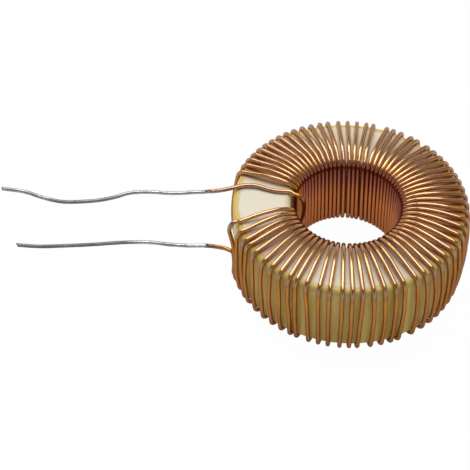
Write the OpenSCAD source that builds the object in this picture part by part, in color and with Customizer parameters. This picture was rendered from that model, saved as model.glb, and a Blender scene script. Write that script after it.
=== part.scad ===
// Toroidal inductor: a painted powder ring wound with one layer of enamelled wire.
// The ring's axis is Z and the lowest turns rest on z = 0. Both leads leave towards -X.
// The wire climbs the outside of the ring, crosses the top face inwards, drops through the
// bore and returns under the ring, a little further round each time.

/* [Core] */
// Outer diameter of the painted ring
core_od = 33.3; // [32:0.1:34]
// Diameter of the painted ring's bore
core_bore = 16.4; // [15.6:0.1:17]
// Height of the painted ring
core_h = 11.8; // [10:0.1:13]
// Radius of the ring's outer edges
rim_edge = 0.6; // [0.4:0.05:0.8]
// Radius of the ring's bore edges
bore_edge = 0.9; // [0.6:0.05:1.1]

/* [Wire] */
// Diameter of the wire over its enamel
wire_d = 0.62; // [0.5:0.01:0.64]
// Diameter of the stripped and tinned ends
tinned_d = 0.56; // [0.4:0.01:0.56]
// Clearance between the wire and the ring
seat = 0.07; // [0.05:0.01:0.1]
// Sides of the wire's section
wire_sides = 6; // [5:1:8]

/* [Turns] */
// Number of turns
turns = 65; // [60:1:66]
// Angle of the first turn at the outer rim
first_turn = 204.4; // [204:0.1:205]
// Angle from one turn to the next
pitch = 5.03; // [5:0.01:5.05]
// Lean of the outer legs, ahead at the bottom
outer_lean = 0.9; // [0:0.1:1.2]
// Lean of the bore legs, ahead at the top
bore_lean = 2.2; // [1.6:0.1:2.4]

/* [Bends] */
// Stand-off of the bends at the outer rims
rim_slack = 0.12; // [0:0.02:0.2]
// Angle at which the outer legs bow out from the ring
outer_bow = 7.5; // [0:0.5:10]
// Angle at which the top legs leave the bore edge
crown_inner = 30; // [0:1:32]
// Angle at which the top legs come down to the rim
crown_outer = 7; // [0:0.5:12]
// Angle at which the bore legs bow out
bore_bow = 2; // [0:0.5:3]

/* [Hidden] */

// Smooth round surfaces
$fn = 96;
// Sides of the tinned ends' bent stretch, and facets of their round tips
tinned_sides = 12;
tip_fn = 32;
// How much thinner the bent stretch is than its round tip, and how far it runs into the tip
bent_step = 0.01;
tip_overlap = 0.3;

core_r = core_od / 2;
bore_r = core_bore / 2;
// Distance from the ring's surface to the wire's centreline
standoff = wire_d / 2 + seat;

// The four bends of a turn, in the order the wire meets them:
// 0 outer bottom, 1 outer top, 2 bore top, 3 bore bottom
edge = [rim_edge, rim_edge, bore_edge, bore_edge];
slack = [rim_slack, rim_slack, 0, 0];
// Radius of each bend's centreline, which touches the rounded edge at 45 degrees
reach = [for (j = [0:3]) edge[j] + standoff + sqrt(2) * slack[j]];

// Ratio of the radii between which the faces are flat
rim_ratio = (core_r - rim_edge) / (bore_r + bore_edge);

// Height of the ring's underside, so that the lowest wire rests on z = 0
core_z = reach[0] - edge[0] - slack[0] + wire_d / 2;
top_z = core_z + core_h;

// The four legs follow the bends: 0 outer, 1 top, 2 bore, 3 base.
// Angles at which each leg starts and ends, away from its own face
leg_start = [outer_bow, crown_outer, bore_bow, 0];
leg_end = [outer_bow, crown_inner, bore_bow, 0];

// Stops along one turn: whole even numbers start a bend, odd numbers start a leg
turn_stops = [0, 0.5, 1, 1.5, 2, 2.5, 3, 3.5, 4, 4.5, 5, 6.15, 6.5, 6.85];
// Stop at which the top leg starts
top_start = 3;

// The turns are laid by hand. How far they stray from even steps at the outer rim:
// number of the turn and angle, with the turns between on a straight line
rim_stray = [
    [1, -3.6], [2, -2], [3, -1.1], [4, -2.5], [5, -2.1], [6, -0.4], [9, 0.1], [10, -1.2],
    [11, -1.2], [12, 0], [13, -0.1], [14, 0.8], [16, 0.2], [17, 0.2], [19, 0.7], [20, 0],
    [21, 1.6], [26, 1.8], [28, 2.5], [32, 5], [34, 5.4], [35, 5.4], [37, 4.3], [39, 3.3],
    [41, 2.8], [42, 4.3], [43, 3], [44, 3.8], [45, 3.2], [46, 1.8], [47, 4.1], [48, 2.8],
    [51, 2.6], [52, 3.1], [53, 2.4], [56, 2], [60, 0.3], [64, -1.6], [65, -1]
];
// The same where they enter the bore
bore_stray = [
    [1, -7.5], [3, -5.9], [6, -3.4], [8, -2.1], [10, -1.6], [13, -1.2], [14, -0.9], [15, 0],
    [16, 0.3], [20, 0.1], [21, 1.5], [22, 2.9], [25, 3.8], [27, 4.2], [29, 5], [31, 5.2],
    [32, 5.4], [43, 1.2], [46, 0.9], [47, 1], [48, 1.9], [50, 1.2], [51, 2], [52, 2.3],
    [54, 1.6], [56, 1.1], [64, -1.9], [65, -1.4]
];
// Share of the bore legs' lean that lies in the bend over the bore's top edge
bend_share = 0.2;
// The same for the foot of each turn's outer leg, beyond the even lean
foot_stray = [
    [1, 0], [4, 0], [5, 0.8], [6, -0.1], [7, 0.4], [8, 0.6], [9, 0.5], [10, 0.2],
    [11, 1.5], [12, 0.1], [13, -0.1], [14, -0.4], [15, -0.6], [16, -1.4], [17, 0],
    [18, 0], [19, -0.4], [20, -0.9], [21, 0.2], [22, 1.3], [23, 1.6], [64, 1.6], [65, 6]
];

// Start of the winding, from the tinned end inwards over the top face:
// distance out from the rim, y, height over the top face
start_over_top = [
    [3.4, 0.1, -0.05], [1.8, 0.3, 0.17], [0.35, 0.7, 0.36], [-1.1, 1.3, 0.4],
    [-2.3, 1.5, 0.45], [-3.5, 1.45, 0.42], [-5, 1.05, 0.36], [-6.5, 0.85, 0.36],
    [-8.2, 0.9, 0.36]
];
// Then loosely down the bore: angle, distance in from the bore wall, height over the underside
start_in_bore = [
    [175, 0.2, 12], [177, 1.1, 11.9], [179, 1.7, 11.3], [182, 1.9, 10.25],
    [185, 1.85, 9.15], [187.5, 1.6, 8.1], [189, 1.2, 6.75], [189.6, 0.75, 5.1],
    [189.6, 0.45, 3.3]
];
// Angles of the start's way under the ring, at stops 6 to 9 of a turn: stop and angle
start_under = [
    [6.15, 189.5], [6.5, 189.5], [6.85, 189.6], [7.5, 195.4], [8, 201.8], [8.5, 202.3],
    [9, 202.3]
];
// Then up the outside as a loose leg: angle, distance out from the rim, height over the underside
start_outside = [
    [202.5, 0.46, 4.1], [202.6, 0.55, 6.8], [202.5, 0.68, 8.3], [202.1, 0.92, 9.85],
    [201.6, 1.07, 11.2], [201.2, 0.68, 12.1], [200.9, 0, 12.35]
];
// End of the winding, under the ring and up again, at stops 7 to 9 of a turn
end_under = [[7.25, 171], [7.5, 179], [7.75, 188], [8, 195.8], [8.5, 198.6], [9, 199.2]];
// Then up the outside: angle, distance out from the rim, height over the underside
end_outside = [[199.2, 0.34, 2.5], [199, 0.36, 4.1], [198.3, 0.48, 4.95]];
// Then outwards: distance out from the rim, y, height over the underside
end_out = [[0.5, -5.05, 5.15], [1.6, -4.8, 5.1], [3.4, -4.6, 5]];

// Tinned part of the upper lead: distance out from the rim, y, height over the top face
tinned_upper = [
    [3.4, 0.1, -0.05], [6.1, -0.2, -0.25], [9, -0.5, -0.45], [12.9, -0.45, -0.65],
    [15.4, -0.85, -0.75], [17.5, -1.8, -0.9], [19.7, -2.55, -1], [22.4, -3, -1.15],
    [25.1, -3.2, -1.25], [28.1, -2.6, -1.4], [31.2, -1.6, -1.5], [35.1, -1.15, -1.65]
];
// Tinned part of the lower lead: distance out from the rim, y, height over the underside
tinned_lower = [
    [3.4, -4.6, 5], [6.2, -4.85, 4.95], [9.2, -4.85, 4.85], [11.5, -4.7, 4.8],
    [13.8, -4.8, 4.75], [17, -5.25, 4.7], [20.6, -5.9, 4.6], [25.2, -6.6, 4.5],
    [28.6, -7, 4.4], [32.3, -7, 4.3]
];
// Slant of the cut at the tips
tip_slant = 30;

function unit(v) = v / norm(v);
function mix(a, b, f) = a + (b - a) * f;
function polar(angle, r, z) = [r * cos(angle), r * sin(angle), z];
function heading(angle) = [cos(angle), sin(angle)];

// --- One turn, drawn in the plane of radius and height ---

function bend_centre(j) = let (e = edge[j] + slack[j])
    [j < 2 ? core_r - e : bore_r + e, j == 1 || j == 2 ? top_z - e : core_z + e];
// Directions of the bend's outward normal where it starts and ends
function bend_from(j) = 90 * (j - 1) + leg_end[(j + 3) % 4];
function bend_to(j) = 90 * j - leg_start[j];
function bend_point(j, f) = bend_centre(j) + reach[j] * heading(mix(bend_from(j), bend_to(j), f));

function cubic(a, b, c, d, f) =
    a * pow(1 - f, 3) + b * 3 * f * pow(1 - f, 2) + c * 3 * f * f * (1 - f) + d * pow(f, 3);
// A leg runs from its bend to the next and leaves each along the bend's tangent
function leg_point(j, f) = let (
    next = (j + 1) % 4,
    a = bend_point(j, 1),
    b = bend_point(next, 0),
    arm = norm(b - a) / 3
) cubic(a, a + arm * heading(bend_to(j) + 90), b - arm * heading(bend_from(next) + 90), b, f);

// Radius and height at a stop of the turn
function section(stop) = let (i = floor(stop) % 8, f = stop - floor(stop), j = floor(i / 2))
    i % 2 == 0 ? bend_point(j, f) : leg_point(j, f);

// --- The turns' angles round the ring ---

function even_angle(k) = first_turn + pitch * (k - 1);
function outer_angle(k) = even_angle(k) + lookup(k, rim_stray);
function bore_angle(k) = even_angle(k) + lookup(k, bore_stray);

// Angle at the foot of turn k's outer leg
function foot_angle(k) = outer_angle(k) + outer_lean + lookup(k, foot_stray);

// Angles where each bend and leg of turn k starts
function turn_angles(k) = let (
    foot = foot_angle(k),
    a = outer_angle(k),
    b = bore_angle(k),
    c = b - bend_share * bore_lean
) [foot, foot, a, a, b, c, c - bore_lean, c - bore_lean, foot_angle(k + 1)];
// Share of the change of angle on a leg that runs straight across a face of the ring
function straight(f, ratio) = f / (f + ratio * (1 - f));
function turn_angle(k, stop) = let (i = floor(stop), f = stop - i, angles = turn_angles(k))
    mix(angles[i], angles[i + 1], i == 1 ? f * f
        : i == 3 ? straight(f, rim_ratio) : i == 7 ? straight(f, 1 / rim_ratio) : f);
function on_section(angle, stop) = let (p = section(stop)) polar(angle, p[0], p[1]);
function turn_path(k, first) =
    [for (stop = turn_stops) if (stop >= first) on_section(turn_angle(k, stop), stop)];

// --- The whole wire ---

function out_from_rim(p, z) = [-(core_r + p[0]), p[1], z + p[2]];
function at_bore(p) = polar(p[0], bore_r - p[1], core_z + p[2]);
function at_rim(p) = polar(p[0], core_r + p[1], core_z + p[2]);

start_path = concat(
    [for (p = start_over_top) out_from_rim(p, top_z)],
    [for (p = start_in_bore) at_bore(p)],
    [for (p = start_under) on_section(p[1], p[0])],
    [for (p = start_outside) at_rim(p)]
);
end_path = concat(
    [for (p = end_under) on_section(p[1], p[0])],
    [for (p = end_outside) at_rim(p)],
    [for (p = end_out) out_from_rim(p, core_z)]
);
wire_path = concat(
    start_path,
    turn_path(1, top_start),
    [for (k = [2:turns]) each turn_path(k, 0)],
    end_path
);
upper_path = [for (p = tinned_upper) out_from_rim(p, top_z)];
lower_path = [for (p = tinned_lower) out_from_rim(p, core_z)];

// Sweeps a round section along a path. The first and last rings face the points before and
// after it, so that the pieces that follow there meet them flat.
module sweep(path, before, after, d, sides) {
    last = len(path) - 1;
    // Each ring lies in the plane that halves the bend there
    along = [for (i = [0:last])
        i == 0 ? unit(path[0] - before) : i == last ? unit(after - path[last])
        : unit(unit(path[i + 1] - path[i]) + unit(path[i] - path[i - 1]))];
    // The section keeps one corner away from the ring
    round_ring = [for (p = path) unit([-p[1], p[0], 0])];
    side = [for (i = [0:last]) unit(round_ring[i] - (round_ring[i] * along[i]) * along[i])];
    points = [for (i = [0:last], c = [0:sides - 1]) let (a = 360 * c / sides)
        path[i] + d / 2 * (cos(a) * cross(side[i], along[i]) + sin(a) * side[i])];
    walls = [for (i = [0:last - 1], c = [0:sides - 1]) let (n = (c + 1) % sides)
        [i * sides + c, (i + 1) * sides + c, (i + 1) * sides + n, i * sides + n]];
    ends = [[for (c = [0:sides - 1]) c], [for (c = [sides - 1:-1:0]) last * sides + c]];
    polyhedron(points, concat(walls, ends), convexity = 20);
}

// A tinned end: a bent stretch, then a straight round tip with a slanting cut
module tinned_end(path) {
    last = len(path) - 1;
    run = unit(path[last] - path[last - 1]);
    bent = concat([for (i = [0:last - 1]) path[i]], [path[last - 1] + tip_overlap * run]);
    sweep(bent, path[0] - (path[1] - path[0]), path[last], tinned_d - bent_step, tinned_sides);
    translate(path[last - 1])
        rotate([0, acos(run[2]), atan2(run[1], run[0])])
            difference() {
                length = norm(path[last] - path[last - 1]);
                cylinder(h = length, d = tinned_d, $fn = tip_fn);
                translate([0, 0, length - tinned_d / 2])
                    rotate([0, tip_slant, 0])
                        translate([-tinned_d, -tinned_d, 0])
                            cube(2 * tinned_d);
            }
}

module core_section() {
    translate([bore_r + bore_edge, 0])
        square([core_r - rim_edge - bore_r - bore_edge, core_h]);
    translate([bore_r, bore_edge])
        square([bore_edge, core_h - 2 * bore_edge]);
    translate([core_r - rim_edge, rim_edge])
        square([rim_edge, core_h - 2 * rim_edge]);
    for (z = [bore_edge, core_h - bore_edge])
        translate([bore_r + bore_edge, z]) circle(r = bore_edge);
    for (z = [rim_edge, core_h - rim_edge])
        translate([core_r - rim_edge, z]) circle(r = rim_edge);
}

module core() {
    color([0.88, 0.86, 0.75])
        translate([0, 0, core_z])
            rotate_extrude() core_section();
}

module winding() {
    color([0.69, 0.46, 0.26])
        sweep(wire_path, upper_path[1], lower_path[1], wire_d, wire_sides);
}

module tinned_end_upper() {
    color([0.72, 0.72, 0.7]) tinned_end(upper_path);
}

module tinned_end_lower() {
    color([0.72, 0.72, 0.7]) tinned_end(lower_path);
}

core();
winding();
tinned_end_upper();
tinned_end_lower();
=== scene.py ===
"""Toroidal inductor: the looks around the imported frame.

The winding is worked out in millimetres, and in degrees about the ring's axis, with the same names
for its values as in the part. The meshes, the materials, the floor and the lamps are in metres.
"""
import math

import bpy
import numpy as np
from mathutils import Matrix, Vector


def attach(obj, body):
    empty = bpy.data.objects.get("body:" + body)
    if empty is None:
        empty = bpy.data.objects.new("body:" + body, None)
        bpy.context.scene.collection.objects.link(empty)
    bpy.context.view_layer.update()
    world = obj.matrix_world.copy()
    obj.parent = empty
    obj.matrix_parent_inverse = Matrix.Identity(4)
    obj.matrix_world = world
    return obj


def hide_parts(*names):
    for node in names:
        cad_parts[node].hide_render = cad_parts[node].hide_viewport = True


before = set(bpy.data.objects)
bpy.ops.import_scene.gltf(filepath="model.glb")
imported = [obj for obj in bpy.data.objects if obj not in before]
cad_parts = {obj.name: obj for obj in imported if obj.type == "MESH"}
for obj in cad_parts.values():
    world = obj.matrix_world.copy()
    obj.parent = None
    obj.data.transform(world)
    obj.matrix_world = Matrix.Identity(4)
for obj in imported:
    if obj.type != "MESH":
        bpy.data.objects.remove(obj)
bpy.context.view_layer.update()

MM = 0.001

# ---------------------------------------------------------------- camera
# A pinhole camera fitted to the photo's outlines. Pixels are those of the photo's square frame.
FRAME_PX = 470
FOCAL_PX = 1169.47
ELEVATION, ROLL = 47.989, 4.530
DISTANCE = 174.27                    # from the middle of the ring
RING_MID = 6.79                      # height of the middle of the ring
RING_AT_PX = (346.141, 228.993)      # where the middle of the ring lies in the frame
OPTICAL_AXIS_PX = (202.79, 185.07)   # where the optical axis meets the frame
SENSOR = 36.0


def camera_axes():
    """The way back from the ring to the camera, and the camera's right, down and forward.

    The camera is turned so that the ring lies off its optical axis.
    """
    elevation, roll = math.radians(ELEVATION), math.radians(ROLL)
    back = np.array([0, -math.cos(elevation), math.sin(elevation)])
    right = np.array([1.0, 0, 0])
    level = np.array([right, np.cross(-back, right), -back])
    to_ring = np.array([RING_AT_PX[0] - OPTICAL_AXIS_PX[0],
                        RING_AT_PX[1] - OPTICAL_AXIS_PX[1], FOCAL_PX])
    to_ring /= np.linalg.norm(to_ring)
    axis = np.cross([0, 0, 1.0], to_ring)
    sine = np.linalg.norm(axis)
    skew = np.array([[0, -axis[2], axis[1]], [axis[2], 0, -axis[0]], [-axis[1], axis[0], 0]])
    pan = np.eye(3) + skew + skew @ skew * ((1 - to_ring[2]) / (sine * sine))
    c, s = math.cos(roll), math.sin(roll)
    return back, pan @ np.array([[c, -s, 0], [s, c, 0], [0, 0, 1.0]]) @ level


def make_camera():
    data = bpy.data.cameras.new("camera")
    data.sensor_width = SENSOR
    data.lens = SENSOR * FOCAL_PX / FRAME_PX
    data.shift_x = (FRAME_PX / 2 - OPTICAL_AXIS_PX[0]) / FRAME_PX
    data.shift_y = -(FRAME_PX / 2 - OPTICAL_AXIS_PX[1]) / FRAME_PX
    data.clip_start, data.clip_end = 0.01, 10.0
    camera = bpy.data.objects.new("camera", data)
    bpy.context.scene.collection.objects.link(camera)
    back, (right, down, forward) = camera_axes()
    place = (np.array([0, 0, RING_MID]) + back * DISTANCE) * MM
    rows = [(right[i], -down[i], -forward[i], place[i]) for i in range(3)]
    camera.matrix_world = Matrix((*rows, (0, 0, 0, 1)))
    bpy.context.scene.camera = camera


make_camera()

# ---------------------------------------------------------------- the wire's route, as in the part
core_od, core_bore, core_h, rim_edge, bore_edge = 33.3, 16.4, 11.8, 0.6, 0.9
wire_d, tinned_d, seat = 0.62, 0.56, 0.07
turns, first_turn, pitch = 65, 204.4, 5.03
outer_lean, bore_lean, bend_share = 0.9, 2.2, 0.2
rim_slack, outer_bow, crown_inner, crown_outer, bore_bow = 0.12, 7.5, 30, 7, 2
core_r, bore_r, standoff = core_od / 2, core_bore / 2, wire_d / 2 + seat
# one value for each bend round the core's section: rim foot, rim top, bore top, bore foot
edge = (rim_edge, rim_edge, bore_edge, bore_edge)
slack = (rim_slack, rim_slack, 0, 0)
reach = [edge[j] + standoff + math.sqrt(2) * slack[j] for j in range(4)]
core_z = reach[0] - edge[0] - slack[0] + wire_d / 2
top_z = core_z + core_h
# how far each leg (outer, top, bore, base) bows out at its start and its end, in degrees
leg_start = (outer_bow, crown_outer, bore_bow, 0)
leg_end = (outer_bow, crown_inner, bore_bow, 0)
rim_ratio = (core_r - rim_edge) / (bore_r + bore_edge)
# [turn, degrees that it strays from its even step]. For the rim and the bore, scratch scripts worked
# most of these out from angles read off the photo by eye. Some were then changed one by one. The
# foot's were worked out one by one.
rim_stray = [
    [1, -3.6], [2, -2], [3, -1.1], [4, -2.5], [5, -2.1], [6, -0.4], [9, 0.1], [10, -1.2],
    [11, -1.2], [12, 0], [13, -0.1], [14, 0.8], [16, 0.2], [17, 0.2], [19, 0.7], [20, 0],
    [21, 1.6], [26, 1.8], [28, 2.5], [32, 5], [34, 5.4], [35, 5.4], [37, 4.3], [39, 3.3],
    [41, 2.8], [42, 4.3], [43, 3], [44, 3.8], [45, 3.2], [46, 1.8], [47, 4.1], [48, 2.8],
    [51, 2.6], [52, 3.1], [53, 2.4], [56, 2], [60, 0.3], [64, -1.6], [65, -1]]
bore_stray = [
    [1, -7.5], [3, -5.9], [6, -3.4], [8, -2.1], [10, -1.6], [13, -1.2], [14, -0.9], [15, 0],
    [16, 0.3], [20, 0.1], [21, 1.5], [22, 2.9], [25, 3.8], [27, 4.2], [29, 5], [31, 5.2],
    [32, 5.4], [43, 1.2], [46, 0.9], [47, 1], [48, 1.9], [50, 1.2], [51, 2], [52, 2.3],
    [54, 1.6], [56, 1.1], [64, -1.9], [65, -1.4]]
foot_stray = [
    [1, 0], [4, 0], [5, 0.8], [6, -0.1], [7, 0.4], [8, 0.6], [9, 0.5], [10, 0.2],
    [11, 1.5], [12, 0.1], [13, -0.1], [14, -0.4], [15, -0.6], [16, -1.4], [17, 0],
    [18, 0], [19, -0.4], [20, -0.9], [21, 0.2], [22, 1.3], [23, 1.6], [64, 1.6], [65, 6]]
# The routes of the wire's two ends. Where they show in the photo, scratch scripts turned most of the
# points from pixels, read by eye, into millimetres. They were then rounded, and some moved one by
# one.
# Out of sight they were chosen.
# [out from the rim, y, above the face or the foot of the core]
start_over_top = [
    [3.4, 0.1, -0.05], [1.8, 0.3, 0.17], [0.35, 0.7, 0.36], [-1.1, 1.3, 0.4],
    [-2.3, 1.5, 0.45], [-3.5, 1.45, 0.42], [-5, 1.05, 0.36], [-6.5, 0.85, 0.36],
    [-8.2, 0.9, 0.36]]
# [angle, in from the bore's wall, above the core's foot]
start_in_bore = [
    [175, 0.2, 12], [177, 1.1, 11.9], [179, 1.7, 11.3], [182, 1.9, 10.25],
    [185, 1.85, 9.15], [187.5, 1.6, 8.1], [189, 1.2, 6.75], [189.6, 0.75, 5.1],
    [189.6, 0.45, 3.3]]
# [stop on the section, angle]
start_under = [
    [6.15, 189.5], [6.5, 189.5], [6.85, 189.6], [7.5, 195.4], [8, 201.8], [8.5, 202.3],
    [9, 202.3]]
# [angle, out from the rim, above the core's foot]
start_outside = [
    [202.5, 0.46, 4.1], [202.6, 0.55, 6.8], [202.5, 0.68, 8.3], [202.1, 0.92, 9.85],
    [201.6, 1.07, 11.2], [201.2, 0.68, 12.1], [200.9, 0, 12.35]]
end_under = [[7.25, 171], [7.5, 179], [7.75, 188], [8, 195.8], [8.5, 198.6], [9, 199.2]]
end_outside = [[199.2, 0.34, 2.5], [199, 0.36, 4.1], [198.3, 0.48, 4.95]]
end_out = [[0.5, -5.05, 5.15], [1.6, -4.8, 5.1], [3.4, -4.6, 5]]
tinned_upper = [
    [3.4, 0.1, -0.05], [6.1, -0.2, -0.25], [9, -0.5, -0.45], [12.9, -0.45, -0.65],
    [15.4, -0.85, -0.75], [17.5, -1.8, -0.9], [19.7, -2.55, -1], [22.4, -3, -1.15],
    [25.1, -3.2, -1.25], [28.1, -2.6, -1.4], [31.2, -1.6, -1.5], [35.1, -1.15, -1.65]]
tinned_lower = [
    [3.4, -4.6, 5], [6.2, -4.85, 4.95], [9.2, -4.85, 4.85], [11.5, -4.7, 4.8],
    [13.8, -4.8, 4.75], [17, -5.25, 4.7], [20.6, -5.9, 4.6], [25.2, -6.6, 4.5],
    [28.6, -7, 4.4], [32.3, -7, 4.3]]

# a small waver of the outer legs, which is the scene's own: degrees, and phases in radians
WAVER_LOOSE, WAVER_TIGHT, LOOSE_TURNS = 0.45, 0.12, 9
WAVER_ALONG, WAVER_BY_TURN = 5.6, 2.1

# A turn has 8 stops, which take turns as a bend (even) and the leg after it (odd). A stop with a
# fraction lies part of the way along it.
OUTER_LEG, TOP_LEG, BORE_LEG, BASE_LEG = 1, 3, 5, 7
BEND_STEPS = 8
LEG_STEPS = {OUTER_LEG: 12, TOP_LEG: 9, BORE_LEG: 6, BASE_LEG: 6}

ROUND_OFF = 0.55     # width, along the wire, over which its angles are evened out
WIRE_SPACING, TINNED_SPACING = 0.3, 0.5
# the wire stays inside the part's box, which is 0 to CAD_TOP high
CAD_TOP, LOW_CLEARANCE, HIGH_CLEARANCE = 13.756, 0.002, 0.003


def heading(angle):
    return np.array([math.cos(math.radians(angle)), math.sin(math.radians(angle))])


def polar(angle, r, z):
    return np.array([*(r * heading(angle)), z])


def bend_centre(j):
    e = edge[j] + slack[j]
    return np.array([core_r - e if j < 2 else bore_r + e, top_z - e if j in (1, 2) else core_z + e])


def bend_from(j):
    return 90 * (j - 1) + leg_end[(j + 3) % 4]


def bend_to(j):
    return 90 * j - leg_start[j]


def bend_point(j, f):
    return bend_centre(j) + reach[j] * heading(bend_from(j) + (bend_to(j) - bend_from(j)) * f)


def leg_point(j, f):
    """A cubic curve from the end of one bend to the start of the next."""
    n = (j + 1) % 4
    a, d = bend_point(j, 1), bend_point(n, 0)
    arm = np.linalg.norm(d - a) / 3
    b, c = a + arm * heading(bend_to(j) + 90), d - arm * heading(bend_from(n) + 90)
    return a * (1 - f) ** 3 + 3 * b * f * (1 - f) ** 2 + 3 * c * f * f * (1 - f) + d * f ** 3


def section(stop):
    """Radius and height of the wire's middle at a stop."""
    i, f = int(stop) % 8, stop - int(stop)
    return bend_point(i // 2, f) if i % 2 == 0 else leg_point(i // 2, f)


def stray(k, table):
    return float(np.interp(k, [row[0] for row in table], [row[1] for row in table]))


def outer_angle(k):
    return first_turn + pitch * (k - 1) + stray(k, rim_stray)


def bore_angle(k):
    return first_turn + pitch * (k - 1) + stray(k, bore_stray)


def foot_angle(k):
    return outer_angle(k) + outer_lean + stray(k, foot_stray)


def waver(k, f):
    size = WAVER_LOOSE if k <= LOOSE_TURNS else WAVER_TIGHT
    return size * math.sin(math.pi * f) * math.sin(WAVER_ALONG * f + WAVER_BY_TURN * k)


def turn_angle(k, stop):
    """Angle of turn k at a stop, with legs that run straight over the flat faces."""
    foot, rim, bore = foot_angle(k), outer_angle(k), bore_angle(k)
    bent = bore - bend_share * bore_lean
    low = bent - bore_lean
    angles = [foot, foot, rim, rim, bore, bent, low, low, foot_angle(k + 1)]
    i, f = int(stop), stop - int(stop)
    start, rise = angles[i], angles[i + 1] - angles[i]
    if i == OUTER_LEG:
        return start + rise * f * f + waver(k, f)
    if i in (TOP_LEG, BASE_LEG):
        ratio = rim_ratio if i == TOP_LEG else 1 / rim_ratio
        f = f / (f + ratio * (1 - f))
    return start + rise * f


def on_section(angle, stop):
    return polar(angle, *section(stop))


def out_from_rim(p, z):
    return np.array([-(core_r + p[0]), p[1], z + p[2]])


def at_bore(p):
    return polar(p[0], bore_r - p[1], core_z + p[2])


def at_rim(p):
    return polar(p[0], core_r + p[1], core_z + p[2])


def fine_stops(first):
    """The stops of a turn from the first one asked for, closer together than in the part."""
    out = []
    for i in range(8):
        n = LEG_STEPS.get(i, BEND_STEPS)
        out += [i + s / n for s in range(n)]
    return [s for s in out if s >= first]


def smooth(values, at, width):
    """Weighted mean of values over a width along the wire, which rounds off the angles' kinks."""
    out = np.array(values, float)
    for i in range(len(values)):
        lo, hi = np.searchsorted(at, [at[i] - 3 * width, at[i] + 3 * width])
        w = np.exp(-0.5 * ((at[lo:hi] - at[i]) / width) ** 2)
        out[i] = (w * values[lo:hi]).sum() / w.sum()
    return out


def distance_along(*steps):
    """Running length from the changes in each coordinate."""
    return np.concatenate([[0], np.cumsum(np.sqrt(sum(s * s for s in steps)))])


def turns_path():
    """Every full turn, from the top leg of the first to the foot of the last turn's base leg."""
    angles, rz = [], []
    for k in range(1, turns + 1):
        for s in fine_stops(TOP_LEG if k == 1 else 0):
            if k == turns and s > BASE_LEG:
                break
            angles.append(turn_angle(k, s))
            rz.append(section(s))
    angles, rz = np.array(angles), np.array(rz)
    at = distance_along(*np.diff(rz, axis=0).T, np.radians(np.diff(angles)) * rz[1:, 0])
    a = np.radians(smooth(angles, at, ROUND_OFF))
    return np.column_stack([rz[:, 0] * np.cos(a), rz[:, 0] * np.sin(a), rz[:, 1]])


def spline(points, spacing):
    """Centripetal Catmull-Rom curve through all but the first and last points."""
    pts = [np.array(p, float) for p in points]
    out = []
    for i in range(1, len(pts) - 2):
        p0, p1, p2, p3 = pts[i - 1:i + 3]
        t0 = 0.0
        t1 = t0 + np.linalg.norm(p1 - p0) ** 0.5
        t2 = t1 + np.linalg.norm(p2 - p1) ** 0.5
        t3 = t2 + np.linalg.norm(p3 - p2) ** 0.5
        n = max(2, int(math.ceil(np.linalg.norm(p2 - p1) / spacing)))
        for s in range(n):
            t = t1 + (t2 - t1) * s / n
            a1 = (t1 - t) / (t1 - t0) * p0 + (t - t0) / (t1 - t0) * p1
            a2 = (t2 - t) / (t2 - t1) * p1 + (t - t1) / (t2 - t1) * p2
            a3 = (t3 - t) / (t3 - t2) * p2 + (t - t2) / (t3 - t2) * p3
            b1 = (t2 - t) / (t2 - t0) * a1 + (t - t0) / (t2 - t0) * a2
            b2 = (t3 - t) / (t3 - t1) * a2 + (t - t1) / (t3 - t1) * a3
            out.append((t2 - t) / (t2 - t1) * b1 + (t - t1) / (t2 - t1) * b2)
    out.append(pts[-2])
    return out


def tinned_curve(before, points):
    """Through a tinned end's points, from the enamel before it to its tip."""
    beyond = points[-1] + (points[-1] - points[-2])
    return np.array(spline([before] + points + [beyond], TINNED_SPACING))


middle = turns_path()
upper = [out_from_rim(p, top_z) for p in tinned_upper]
lower = [out_from_rim(p, core_z) for p in tinned_lower]
start = ([out_from_rim(p, top_z) for p in start_over_top] + [at_bore(p) for p in start_in_bore]
         + [on_section(p[1], p[0]) for p in start_under] + [at_rim(p) for p in start_outside])
end = ([on_section(p[1], p[0]) for p in end_under] + [at_rim(p) for p in end_outside]
       + [out_from_rim(p, core_z) for p in end_out])
start_curve = spline([upper[1]] + start + [middle[0], middle[3]], WIRE_SPACING)[:-1]
end_curve = spline([middle[-4], middle[-1]] + end + [lower[1]], WIRE_SPACING)[1:]
wire = np.array(list(start_curve) + list(middle) + list(end_curve))
wire[:, 2] = np.clip(wire[:, 2], wire_d / 2 + LOW_CLEARANCE, CAD_TOP - wire_d / 2 - HIGH_CLEARANCE)

# ---------------------------------------------------------------- the wire and its tinned ends
SIDES = 16
around_wire = 2 * math.pi * np.arange(SIDES) / SIDES


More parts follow.
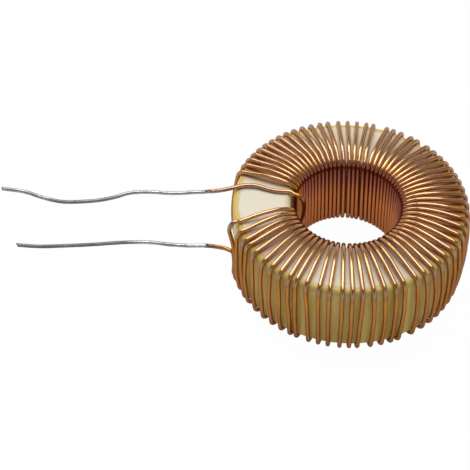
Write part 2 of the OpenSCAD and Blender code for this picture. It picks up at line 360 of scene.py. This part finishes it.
def sweep(name, path, radius, shift):
    """A round section along a path. radius and shift have a row for each station and a column for
    each side, and shift moves the points along the path."""
    along = np.gradient(path, axis=0)
    along /= np.linalg.norm(along, axis=1)[:, None]
    side = np.column_stack([-path[:, 1], path[:, 0], np.zeros(len(path))])
    side /= np.linalg.norm(side, axis=1)[:, None]
    side -= (side * along).sum(1)[:, None] * along
    side /= np.linalg.norm(side, axis=1)[:, None]
    lift = np.cross(side, along)
    ring = (np.cos(around_wire)[None, :, None] * lift[:, None]
            + np.sin(around_wire)[None, :, None] * side[:, None])
    points = path[:, None] + ring * radius[:, :, None] + along[:, None] * shift[:, :, None]
    n = len(path)
    faces = []
    for i in range(n - 1):
        for c in range(SIDES):
            d = (c + 1) % SIDES
            here, there = i * SIDES, (i + 1) * SIDES
            faces.append((here + c, there + c, there + d, here + d))
    faces.append(tuple(range(SIDES)))
    faces.append(tuple((n - 1) * SIDES + c for c in reversed(range(SIDES))))
    mesh = bpy.data.meshes.new(name)
    mesh.from_pydata((points.reshape(-1, 3) * MM).tolist(), [], faces)
    mesh.polygons.foreach_set("use_smooth", [True] * (len(faces) - 2) + [False] * 2)
    mesh.update()
    obj = bpy.data.objects.new(name, mesh)
    bpy.context.scene.collection.objects.link(obj)
    return obj


# The enamel ends in a slightly flared, ragged edge that slants over the tin.
enamel_edge = (0.35 + 0.4 * np.cos(around_wire + 0.4) + 0.08 * np.sin(3 * around_wire + 1)
               + 0.05 * np.sin(5 * around_wire))
enamel_flare = 0.012 + 0.012 * np.sin(2 * around_wire + 1)
wire_radius = np.full((len(wire), SIDES), wire_d / 2)
wire_shift = np.zeros((len(wire), SIDES))
for station, outward in ((0, -1), (-1, 1)):
    wire_shift[station] = outward * enamel_edge
    wire_radius[station] += enamel_flare
winding = sweep("wire", wire, wire_radius, wire_shift)
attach(winding, "root")
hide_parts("winding")

TIP_BACK = 0.17          # how far the tip's foremost point stays back from the route's end
TIP_FACING = 0.73        # the side of the wire that the slanting cut takes most off, in radians
START_NECK = 0.01        # how much thinner the tin is where it comes out of the enamel


def tin_end(name, curve, node, cut):
    """A tinned end with uneven solder, which stands for a node.

    cut is half the depth of the slant at its tip.
    """
    at = distance_along(*np.diff(curve, axis=0).T)
    solder = 0.006 * np.sin(at * 1.9) * np.sin(at * 0.53 + 1) + 0.004 * np.sin(at * 4.7)
    radius = tinned_d / 2 + solder
    radius[:2] = tinned_d / 2 - START_NECK
    shift = np.zeros((len(curve), SIDES))
    shift[-1] = -TIP_BACK - cut * (1 + np.cos(around_wire - TIP_FACING))
    obj = sweep(name, curve, np.repeat(radius[:, None], SIDES, 1), shift)
    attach(obj, "root")
    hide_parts(node)
    return obj


tin_upper = tin_end("tin_upper", tinned_curve(start[1], upper), "tinned_end_upper", 0.07)
tin_lower = tin_end("tin_lower", tinned_curve(end[-2], lower), "tinned_end_lower", 0.22)

# ---------------------------------------------------------------- materials from nodes
NOISE_MIDDLE = (0.3, 0.7)      # most of a noise's values lie between these
BUMP_DEPTH = 0.0001


def srgb(r, g, b):
    """A colour as it is written, made linear."""
    def linear(c):
        c /= 255
        return c / 12.92 if c <= 0.04045 else ((c + 0.055) / 1.055) ** 2.4
    return (linear(r), linear(g), linear(b), 1)


class Shade:
    """A node tree, with a short call for each kind of node that the looks need.

    A value is a number, a colour or another node's output.
    """

    def __init__(self, tree):
        self.tree = tree

    def put(self, value, socket):
        if isinstance(value, bpy.types.NodeSocket):
            self.tree.links.new(value, socket)
        else:
            socket.default_value = value

    def fill(self, node, **values):
        for name, value in values.items():
            self.put(value, node.inputs[name.replace("_", " ")])
        return node

    def node(self, kind, **values):
        return self.fill(self.tree.nodes.new(kind), **values)

    def math(self, operation, *values):
        node = self.node("ShaderNodeMath")
        node.operation = operation
        for value, socket in zip(values, node.inputs):
            self.put(value, socket)
        return node.outputs[0]

    def times(self, first, *others):
        for other in others:
            first = self.math("MULTIPLY", first, other)
        return first

    def plus(self, a, b):
        return self.math("ADD", a, b)

    def most(self, a, b):
        return self.math("MAXIMUM", a, b)

    def invert(self, value):
        return self.math("SUBTRACT", 1.0, value)

    def mix(self, factor, a, b):
        """Colour a where the factor is 0 and colour b where it is 1."""
        node = self.node("ShaderNodeMix")
        node.data_type = "RGBA"
        for value, socket in zip((factor, a, b), (node.inputs[0], node.inputs[6], node.inputs[7])):
            self.put(value, socket)
        return node.outputs[2]

    def rise(self, value, low, high, start=0.0, end=1.0):
        """From start, where the value is at low or before, to end, where it is at high or past."""
        return self.node("ShaderNodeMapRange", Value=value, From_Min=low, From_Max=high,
                         To_Min=start, To_Max=end).outputs["Result"]

    def fall(self, value, low, high):
        return self.rise(value, low, high, 1.0, 0.0)

    def noise(self, vector, scale, detail, roughness):
        """Noise with scale lumps to the metre."""
        return self.node("ShaderNodeTexNoise", Vector=vector, Scale=scale, Detail=detail,
                         Roughness=roughness).outputs["Fac"]

    def mottle(self, vector, scale, detail, roughness, start=0.0, end=1.0):
        """Noise with its middle range spread from start to end."""
        return self.rise(self.noise(vector, scale, detail, roughness), *NOISE_MIDDLE, start, end)

    def place(self):
        """Where the surface is in the shared frame: as a vector, then x, y and z."""
        vector = self.node("ShaderNodeTexCoord").outputs["Object"]
        return (vector, *self.node("ShaderNodeSeparateXYZ", Vector=vector).outputs)

    def radius(self, x, y):
        return self.math("SQRT", self.plus(self.times(x, x), self.times(y, y)))

    def bump(self, shader, height, strength):
        node = self.node("ShaderNodeBump", Height=height, Strength=strength, Distance=BUMP_DEPTH)
        self.put(node.outputs["Normal"], shader.inputs["Normal"])

    def seen(self, camera, shine):
        """How far a background goes towards plain white: for the camera, and in metal and glass."""
        path = self.node("ShaderNodeLightPath").outputs
        shining = self.most(path["Is Glossy Ray"], path["Is Transmission Ray"])
        return self.plus(self.times(path["Is Camera Ray"], camera), self.times(shining, shine))


def material(name):
    """A new material, the short calls for its nodes, and its shader."""
    made = bpy.data.materials.new(name)
    made.use_nodes = True
    return made, Shade(made.node_tree), made.node_tree.nodes["Principled BSDF"]


# A region's border is soft: rise and fall are given where it starts and where it ends.
TOP = top_z * MM         # height of the core's face

# ---------------------------------------------------------------- clear enamel over copper
copper, s, shader = material("enamelled_copper")
vector, x, y, z = s.place()
radius = s.radius(x, y)
colour = s.mix(s.mottle(vector, 330, 2, 0.5), srgb(188, 119, 20), srgb(205, 137, 30))

# painted reflection and shade: redder in the bore, standing for copper mirrored in copper, and
# darker red most near its top, standing for the dark near wall mirrored there; apart from the wire's
# start
in_bore = s.fall(radius, 0.0079, 0.0084)
at_start = s.times(s.rise(x, -0.0060, -0.0068), s.fall(s.math("ABSOLUTE", y), 0.0028, 0.0035))
painted_bore_reflection = s.times(in_bore, s.invert(at_start))
painted_bore_shade = s.times(painted_bore_reflection, s.rise(z, 0.0068, 0.0105))
colour = s.mix(s.times(painted_bore_reflection, 0.85), colour, srgb(220, 130, 56))
colour = s.mix(s.times(painted_bore_shade, 0.92), colour, srgb(162, 90, 70))

# painted shade: darker where the turns bend round the rim, at the foot and at the crown
on_rim = s.times(s.rise(radius, 0.0166, 0.0173), s.fall(radius, 0.0182, 0.0188))
foot = s.fall(z, 0.0002, 0.0011)
crown = s.rise(z, 0.0108, 0.0124)
painted_bend_shade = s.times(on_rim, s.most(s.times(foot, 0.75), s.times(crown, 0.4)))
colour = s.mix(painted_bend_shade, colour, srgb(92, 62, 44))

# browner on the leads, most on the lower one, and on the start where it crosses the gap
lower_lead = s.fall(z, 0.0070, 0.0080)
lead = s.times(s.rise(radius, 0.0186, 0.0200), s.plus(s.times(lower_lead, 0.42), 0.45))
across_gap = s.times(s.rise(x, -0.0092, -0.0100), s.rise(y, -0.0012, -0.0008),
                     s.fall(y, 0.0020, 0.0023), s.rise(z, 0.0112, 0.0116))
colour = s.mix(s.most(lead, s.times(across_gap, 0.4)), colour, srgb(88, 62, 50))

# the enamel shines most on the top legs, where its highlights are cream
on_top = s.times(s.rise(z, TOP - 0.0009, TOP - 0.0002), s.invert(in_bore))
gloss = s.most(on_top, s.times(s.rise(radius, 0.0185, 0.0195), 0.3))
s.fill(shader, Base_Color=colour, Metallic=0.8,
       Specular_Tint=srgb(90, 48, 22), Specular_IOR_Level=0.2,
       Roughness=s.mottle(vector, 700, 3, 0.6, 0.16, 0.24),
       Coat_Weight=s.plus(s.times(gloss, 0.68), 0.28), Coat_Roughness=0.03, Coat_IOR=2.25)
winding.data.materials.append(copper)

# ---------------------------------------------------------------- solder over copper
tin, s, shader = material("tinned_copper")
vector, x, y, z = s.place()
patch = s.rise(s.noise(vector, 420, 3, 0.6), 0.38, 0.62)

# dull on the far stretch of the lower end and in the middle of the upper one
is_lower = s.math("LESS_THAN", z, 0.0075)
is_upper = s.invert(is_lower)
far_lower = s.fall(x, -0.0322, -0.0298)
mid_upper = s.times(s.rise(x, -0.0445, -0.0420), s.fall(x, -0.0355, -0.0325))
dull = s.plus(s.times(is_lower, far_lower), s.times(is_upper, mid_upper, 0.9))

colour = s.mix(patch, srgb(160, 160, 162), srgb(206, 206, 206))
colour = s.mix(s.times(dull, 0.85), colour, srgb(128, 128, 127))
s.fill(shader, Base_Color=colour, Metallic=1.0, Specular_Tint=srgb(88, 88, 92),
       Roughness=s.plus(s.rise(patch, 0, 1, 0.36, 0.2), s.times(dull, 0.3)))
s.bump(shader, s.noise(vector, 1500, 3, 0.6), 0.25)
tin_upper.data.materials.append(tin)
tin_lower.data.materials.append(tin)

# ---------------------------------------------------------------- the ring's two-tone coat of paint
WHITE_EDGE = 0.01584     # radius at which the white of the face ends
WAVERING = 0.0011        # how widely that border wavers
GAP_MIDDLE = math.radians(8)

paint, s, shader = material("painted_core")
vector, x, y, z = s.place()
radius = s.radius(x, y)

wobble = s.times(s.math("SUBTRACT", s.noise(vector, 500, 4, 0.6), 0.5), WAVERING)
edge_radius = s.plus(radius, wobble)
outside = s.rise(edge_radius, WHITE_EDGE - 0.00030, WHITE_EDGE + 0.00018)
inside = s.fall(edge_radius, 0.0085, 0.0094)
below = s.fall(z, TOP - 0.0006, TOP - 0.00015)
yellow = s.most(outside, s.most(below, s.times(inside, 0.5)))
blotch = s.mottle(vector, 90, 3, 0.55)
white = s.mix(blotch, srgb(238, 228, 206), srgb(231, 223, 200))
gold = s.mix(blotch, srgb(222, 194, 104), srgb(214, 186, 92))
colour = s.mix(yellow, white, gold)

# painted light: down the outer wall, a lighter yellow than the face's gold, for light the wall
# lacks, in upright streaks that are painted reflections
upright = s.node("ShaderNodeMapping", Vector=vector, Scale=(1, 1, 0.12)).outputs["Vector"]
wall_painted_light = s.mix(s.mottle(upright, 700, 3, 0.6), srgb(250, 222, 124), srgb(232, 199, 94))
wall = s.fall(z, TOP - 0.0014, TOP - 0.0005)
colour = s.mix(s.times(wall, outside), colour, wall_painted_light)

# painted reflected light and shade: copper-coloured between close turns, standing for light bounced
# off the copper onto the shaded face; on the face's two flanks, and a little near the bore
angle = s.math("ARCTAN2", s.times(y, -1.0), s.times(x, -1.0))
wound = s.rise(s.math("ABSOLUTE", s.math("SUBTRACT", angle, GAP_MIDDLE)),
               math.radians(17), math.radians(24))
flank = s.math("DIVIDE", s.math("ABSOLUTE", x), radius)
dense = s.plus(s.times(s.fall(radius, 0.0090, 0.0125), 0.15), s.times(flank, flank, 0.95))
on_face = s.fall(radius, 0.0160, 0.0166)
painted_bounce_and_shade = s.times(wound, on_face, s.math("MINIMUM", dense, 0.9))
colour = s.mix(painted_bounce_and_shade, colour, srgb(168, 96, 20))

# painted shade and reflected light on the bore's wall: dark khaki in the gap, orange behind the
# turns, standing for light bounced off the copper
in_bore = s.fall(radius, 0.0082, 0.0084)
bore_shade_and_bounce = s.mix(wound, srgb(150, 138, 98), srgb(232, 128, 74))
s.fill(shader, Base_Color=s.mix(s.times(in_bore, 0.9), colour, bore_shade_and_bounce), Roughness=0.38)
s.bump(shader, s.noise(vector, 2500, 3, 0.6), 0.15)
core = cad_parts["core"]
core.data.materials.clear()
core.data.materials.append(paint)
for poly in core.data.polygons:
    poly.material_index = 0

# ---------------------------------------------------------------- floor, world and lamps
HALF = 1.5               # half the floor's side, in metres

mesh = bpy.data.meshes.new("floor")
mesh.from_pydata([(-HALF, -HALF, 0), (HALF, -HALF, 0), (HALF, HALF, 0), (-HALF, HALF, 0)], [],
                 [(0, 1, 2, 3)])
floor = bpy.data.objects.new("floor", mesh)
bpy.context.scene.collection.objects.link(floor)
matte, s, shader = material("floor")
s.fill(shader, Base_Color=(0.7, 0.7, 0.7, 1), Roughness=0.9, Specular_IOR_Level=0.0)
glow = s.node("ShaderNodeEmission", Strength=1.0)
both = s.node("ShaderNodeMixShader", Fac=s.seen(camera=0.985, shine=0.3))
s.put(shader.outputs[0], both.inputs[1])
s.put(glow.outputs[0], both.inputs[2])
s.put(both.outputs[0], matte.node_tree.nodes["Material Output"].inputs["Surface"])
mesh.materials.append(matte)

# Bright at the horizon and dim overhead, so that the lamps draw the highlights. Dimmer in front.
world = bpy.data.worlds.new("studio")
world.use_nodes = True
bpy.context.scene.world = world
s = Shade(world.node_tree)
toward = s.node("ShaderNodeTexCoord").outputs["Generated"]
_, y, z = s.node("ShaderNodeSeparateXYZ", Vector=toward).outputs
sky = s.node("ShaderNodeMapRange", Value=z, From_Min=0.12, From_Max=0.62, To_Min=0.88, To_Max=0.12)
sky.interpolation_type = "SMOOTHSTEP"
light = s.times(sky.outputs["Result"], s.plus(s.times(s.rise(y, -0.8, 0.0), 0.35), 0.65))
whiter = s.times(s.seen(camera=1.0, shine=0.06), s.invert(light))
s.fill(world.node_tree.nodes["Background"], Color=(1, 1, 1, 1), Strength=s.plus(light, whiter))


def lamp(name, place, size, radiance):
    """A soft rectangular lamp that faces the part."""
    data = bpy.data.lights.new(name, "AREA")
    data.shape = "RECTANGLE"
    data.size, data.size_y = size
    data.energy = radiance * math.pi * size[0] * size[1]
    made = bpy.data.objects.new(name, data)
    bpy.context.scene.collection.objects.link(made)
    made.location = place
    made.rotation_euler = (-Vector(place)).to_track_quat("-Z", "Y").to_euler()


lamp("overhead", (0, 0.088, 0.45), (0.3, 0.40), 3.9)
lamp("left_back", (-0.256, 0.215, 0.372), (0.2, 0.2), 4.5)

bpy.context.scene.view_settings.view_transform = "Standard"
